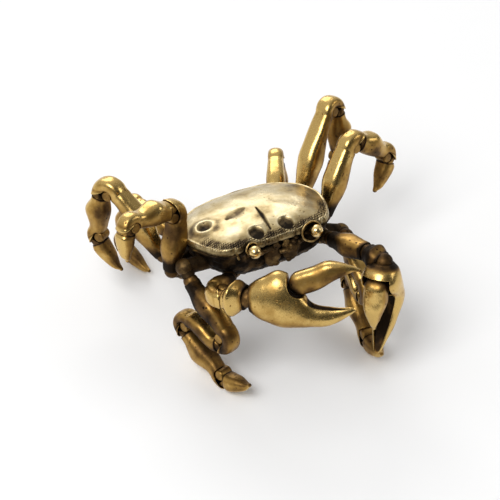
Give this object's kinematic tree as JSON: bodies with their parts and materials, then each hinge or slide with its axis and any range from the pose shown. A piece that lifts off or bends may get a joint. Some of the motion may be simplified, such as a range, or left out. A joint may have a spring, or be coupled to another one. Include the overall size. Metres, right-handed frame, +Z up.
{
  "type": "posable crab figurine",
  "caption": "Small antiqued brass crab with a domed shell and pinned hinges in every leg and claw, so that it can be posed on a table.",
  "frame": {"origin": "centre of the bounding box, on the table that the toes stand on", "axes": "+Z up from the table, -Y the way the crab faces, +X its left side"},
  "size_m": [0.0576, 0.0491, 0.0308],
  "materials": {
    "pale_brass": "worn, polished, dark in its pits",
    "limb_brass": "antiqued, polished on its ridges",
    "dark_brass": "dark brown patina",
    "eye_brass": "polished",
    "pin_brass": "brown patina, worn ends"
  },
  "bodies": {
    "body": {"carapace": "pale_brass", "under_shell": "dark_brass", "mouth_plates": "dark_brass", "eyes": "eye_brass", "tail_apron": "dark_brass", "hip_pins": "pin_brass"},
    "front_leg_right_thigh": {"front_leg_right_thigh": "limb_brass"},
    "front_leg_right_knee_link": {"front_leg_right_knee_link": "limb_brass", "front_leg_right_knee_pins": "pin_brass"},
    "front_leg_right_shin": {"front_leg_right_shin": "limb_brass", "front_leg_right_toe_pin": "pin_brass"},
    "front_leg_right_toe": {"front_leg_right_toe": "limb_brass"},
    "front_leg_left_thigh": {"front_leg_left_thigh": "limb_brass"},
    "front_leg_left_knee_link": {"front_leg_left_knee_link": "limb_brass", "front_leg_left_knee_pins": "pin_brass"},
    "front_leg_left_shin": {"front_leg_left_shin": "limb_brass", "front_leg_left_toe_pin": "pin_brass"},
    "front_leg_left_toe": {"front_leg_left_toe": "limb_brass"},
    "second_leg_right_thigh": {"second_leg_right_thigh": "limb_brass"},
    "second_leg_right_shin": {"second_leg_right_shin": "limb_brass", "second_leg_right_knee_pins": "pin_brass"},
    "second_leg_right_toe": {"second_leg_right_toe": "limb_brass"},
    "second_leg_left_thigh": {"second_leg_left_thigh": "limb_brass"},
    "second_leg_left_shin": {"second_leg_left_shin": "limb_brass", "second_leg_left_knee_pins": "pin_brass"},
    "second_leg_left_toe": {"second_leg_left_toe": "limb_brass"},
    "third_leg_right_thigh": {"third_leg_right_thigh": "limb_brass"},
    "third_leg_right_shin": {"third_leg_right_shin": "limb_brass", "third_leg_right_knee_pins": "pin_brass"},
    "third_leg_right_toe": {"third_leg_right_toe": "limb_brass"},
    "third_leg_left_thigh": {"third_leg_left_thigh": "limb_brass"},
    "third_leg_left_shin": {"third_leg_left_shin": "limb_brass", "third_leg_left_knee_pins": "pin_brass"},
    "third_leg_left_toe": {"third_leg_left_toe": "limb_brass"},
    "rear_leg_right_thigh": {"rear_leg_right_thigh": "limb_brass"},
    "rear_leg_right_shin": {"rear_leg_right_shin": "limb_brass", "rear_leg_right_knee_pins": "pin_brass"},
    "rear_leg_right_toe": {"rear_leg_right_toe": "limb_brass"},
    "rear_leg_left_thigh": {"rear_leg_left_thigh": "limb_brass"},
    "rear_leg_left_shin": {"rear_leg_left_shin": "limb_brass", "rear_leg_left_knee_pins": "pin_brass"},
    "rear_leg_left_toe": {"rear_leg_left_toe": "limb_brass"},
    "claw_right_arm": {"claw_right_arm": "limb_brass"},
    "claw_right_wrist": {"claw_right_wrist": "limb_brass", "claw_right_wrist_pins": "pin_brass"},
    "claw_right_palm": {"claw_right_palm": "limb_brass", "claw_right_finger_pin": "pin_brass"},
    "claw_right_finger": {"claw_right_finger": "limb_brass"},
    "claw_left_arm": {"claw_left_arm": "limb_brass"},
    "claw_left_wrist": {"claw_left_wrist": "limb_brass", "claw_left_wrist_pins": "pin_brass"},
    "claw_left_palm": {"claw_left_palm": "limb_brass", "claw_left_finger_pin": "pin_brass"},
    "claw_left_finger": {"claw_left_finger": "limb_brass"}
  },
  "joints": [
    {"name": "front_leg_right_hip", "type": "hinge", "parent": "body", "child": "front_leg_right_thigh", "pos_m": [-0.0173, -0.00331, 0.01648], "axis": [0.9563, 0.281, -0.0806], "range_deg": [-4, 10]},
    {"name": "front_leg_right_knee", "type": "hinge", "parent": "front_leg_right_thigh", "child": "front_leg_right_knee_link", "pos_m": [-0.01537, -0.01169, 0.01011], "axis": [0.9563, 0.281, -0.0806], "range_deg": [-10, 15]},
    {"name": "front_leg_right_ankle", "type": "hinge", "parent": "front_leg_right_knee_link", "child": "front_leg_right_shin", "pos_m": [-0.01787, -0.00407, 0.00699], "axis": [-0.9563, -0.281, 0.0806], "range_deg": [-10, 10]},
    {"name": "front_leg_right_toe_joint", "type": "hinge", "parent": "front_leg_right_shin", "child": "front_leg_right_toe", "pos_m": [-0.01566, -0.01292, 0.00243], "axis": [-0.9563, -0.281, 0.0806], "range_deg": [-10, 20]},
    {"name": "front_leg_left_hip", "type": "hinge", "parent": "body", "child": "front_leg_left_thigh", "pos_m": [0.0122, -0.00424, 0.01539], "axis": [0.9877, -0.1504, 0.0431], "range_deg": [-8, 10]},
    {"name": "front_leg_left_knee", "type": "hinge", "parent": "front_leg_left_thigh", "child": "front_leg_left_knee_link", "pos_m": [0.01088, -0.01392, 0.01181], "axis": [0.9877, -0.1504, 0.0431], "range_deg": [-10, 5]},
    {"name": "front_leg_left_ankle", "type": "hinge", "parent": "front_leg_left_knee_link", "child": "front_leg_left_shin", "pos_m": [0.01191, -0.00817, 0.00833], "axis": [-0.9877, 0.1504, -0.0431], "range_deg": [-10, 10]},
    {"name": "front_leg_left_toe_joint", "type": "hinge", "parent": "front_leg_left_shin", "child": "front_leg_left_toe", "pos_m": [0.01101, -0.01576, 0.00253], "axis": [-0.9877, 0.1504, -0.0431], "range_deg": [-10, 20]},
    {"name": "second_leg_right_hip", "type": "hinge", "parent": "body", "child": "second_leg_right_thigh", "pos_m": [-0.0189, 0.00056, 0.0162], "axis": [0.2756, -0.924, 0.265], "range_deg": [-4, 20]},
    {"name": "second_leg_right_knee", "type": "hinge", "parent": "second_leg_right_thigh", "child": "second_leg_right_shin", "pos_m": [-0.0179, 0.00358, 0.02568], "axis": [0.2756, -0.924, 0.265], "range_deg": [-10, 25]},
    {"name": "second_leg_right_toe_joint", "type": "hinge", "parent": "second_leg_right_shin", "child": "second_leg_right_toe", "pos_m": [-0.02595, 0.0019, 0.02818], "axis": [0.2756, -0.924, 0.265], "range_deg": [-10, 20]},
    {"name": "second_leg_left_hip", "type": "hinge", "parent": "body", "child": "second_leg_left_thigh", "pos_m": [0.0112, 0.00183, 0.01553], "axis": [-0.2588, 0.9285, -0.2662], "range_deg": [-10, 15]},
    {"name": "second_leg_left_knee", "type": "hinge", "parent": "second_leg_left_thigh", "child": "second_leg_left_shin", "pos_m": [0.01898, 0.00657, 0.02451], "axis": [-0.2588, 0.9285, -0.2662], "range_deg": [-10, 25]},
    {"name": "second_leg_left_toe_joint", "type": "hinge", "parent": "second_leg_left_shin", "child": "second_leg_left_toe", "pos_m": [0.02587, 0.00702, 0.01938], "axis": [-0.2588, 0.9285, -0.2662], "range_deg": [-10, 20]},
    {"name": "third_leg_right_hip", "type": "hinge", "parent": "body", "child": "third_leg_right_thigh", "pos_m": [-0.018, 0.00545, 0.01511], "axis": [-0.829, -0.5375, 0.1541], "range_deg": [-10, 15]},
    {"name": "third_leg_right_knee", "type": "hinge", "parent": "third_leg_right_thigh", "child": "third_leg_right_shin", "pos_m": [-0.02316, 0.01564, 0.02286], "axis": [-0.829, -0.5375, 0.1541], "range_deg": [-10, 20]},
    {"name": "third_leg_right_toe_joint", "type": "hinge", "parent": "third_leg_right_shin", "child": "third_leg_right_toe", "pos_m": [-0.0247, 0.0155, 0.01409], "axis": [-0.829, -0.5375, 0.1541], "range_deg": [-10, 25]},
    {"name": "third_leg_left_hip", "type": "hinge", "parent": "body", "child": "third_leg_left_thigh", "pos_m": [0.009, 0.00699, 0.01467], "axis": [-0.342, 0.9033, -0.259], "range_deg": [-10, 15]},
    {"name": "third_leg_left_knee", "type": "hinge", "parent": "third_leg_left_thigh", "child": "third_leg_left_shin", "pos_m": [0.01873, 0.01418, 0.0269], "axis": [-0.342, 0.9033, -0.259], "range_deg": [-10, 10]},
    {"name": "third_leg_left_toe_joint", "type": "hinge", "parent": "third_leg_left_shin", "child": "third_leg_left_toe", "pos_m": [0.01934, 0.01184, 0.01792], "axis": [-0.342, 0.9033, -0.259], "range_deg": [-10, 12]},
    {"name": "rear_leg_right_hip", "type": "hinge", "parent": "body", "child": "rear_leg_right_thigh", "pos_m": [-0.0131, 0.00949, 0.01395], "axis": [-0.9703, -0.2326, 0.0667], "range_deg": [-15, 10]},
    {"name": "rear_leg_right_knee", "type": "hinge", "parent": "rear_leg_right_thigh", "child": "rear_leg_right_shin", "pos_m": [-0.01588, 0.02065, 0.01243], "axis": [-0.9703, -0.2326, 0.0667], "range_deg": [-10, 20]},
    {"name": "rear_leg_right_toe_joint", "type": "hinge", "parent": "rear_leg_right_shin", "child": "rear_leg_right_toe", "pos_m": [-0.01693, 0.02236, 0.00304], "axis": [-0.9703, -0.2326, 0.0667], "range_deg": [-10, 15]},
    {"name": "rear_leg_left_hip", "type": "hinge", "parent": "body", "child": "rear_leg_left_thigh", "pos_m": [0.0062, 0.00963, 0.01371], "axis": [-0.866, 0.4806, -0.1378], "range_deg": [-15, 10]},
    {"name": "rear_leg_left_knee", "type": "hinge", "parent": "rear_leg_left_thigh", "child": "rear_leg_left_shin", "pos_m": [0.01129, 0.01881, 0.01371], "axis": [-0.866, 0.4806, -0.1378], "range_deg": [-10, 20]},
    {"name": "rear_leg_left_toe_joint", "type": "hinge", "parent": "rear_leg_left_shin", "child": "rear_leg_left_toe", "pos_m": [0.01129, 0.01616, 0.00449], "axis": [-0.866, 0.4806, -0.1378], "range_deg": [-10, 20]},
    {"name": "claw_right_shoulder", "type": "hinge", "parent": "body", "child": "claw_right_arm", "pos_m": [-0.0115, -0.00586, 0.017], "axis": [0, 0.2756, 0.9613], "range_deg": [-3, 8]},
    {"name": "claw_right_elbow", "type": "hinge", "parent": "claw_right_arm", "child": "claw_right_wrist", "pos_m": [-0.0144, -0.00952, 0.01805], "axis": [0, 0.2756, 0.9613], "range_deg": [-10, 10]},
    {"name": "claw_right_wrist_joint", "type": "hinge", "parent": "claw_right_wrist", "child": "claw_right_palm", "pos_m": [-0.012, -0.01326, 0.01913], "axis": [0, 0.2756, 0.9613], "range_deg": [-12, 12]},
    {"name": "claw_right_finger_joint", "type": "hinge", "parent": "claw_right_palm", "child": "claw_right_finger", "pos_m": [-0.00437, -0.01712, 0.02286], "axis": [-0.5667, -0.6991, 0.436], "range_deg": [-8, 20]},
    {"name": "claw_left_shoulder", "type": "hinge", "parent": "body", "child": "claw_left_arm", "pos_m": [0.0072, -0.00733, 0.0195], "axis": [0.9666, 0.2463, -0.0706], "range_deg": [-6, 8]},
    {"name": "claw_left_elbow", "type": "hinge", "parent": "claw_left_arm", "child": "claw_left_wrist", "pos_m": [0.0094, -0.01517, 0.02227], "axis": [0.9671, 0.2446, -0.0703], "range_deg": [-10, 10]},
    {"name": "claw_left_wrist_joint", "type": "hinge", "parent": "claw_left_wrist", "child": "claw_left_palm", "pos_m": [0.0104, -0.01893, 0.02294], "axis": [0.9667, 0.246, -0.0704], "range_deg": [-12, 3]},
    {"name": "claw_left_finger_joint", "type": "hinge", "parent": "claw_left_palm", "child": "claw_left_finger", "pos_m": [0.00776, -0.02136, 0.02008], "axis": [-0.5623, 0.8098, -0.1674], "range_deg": [-2, 25]}
  ]
}
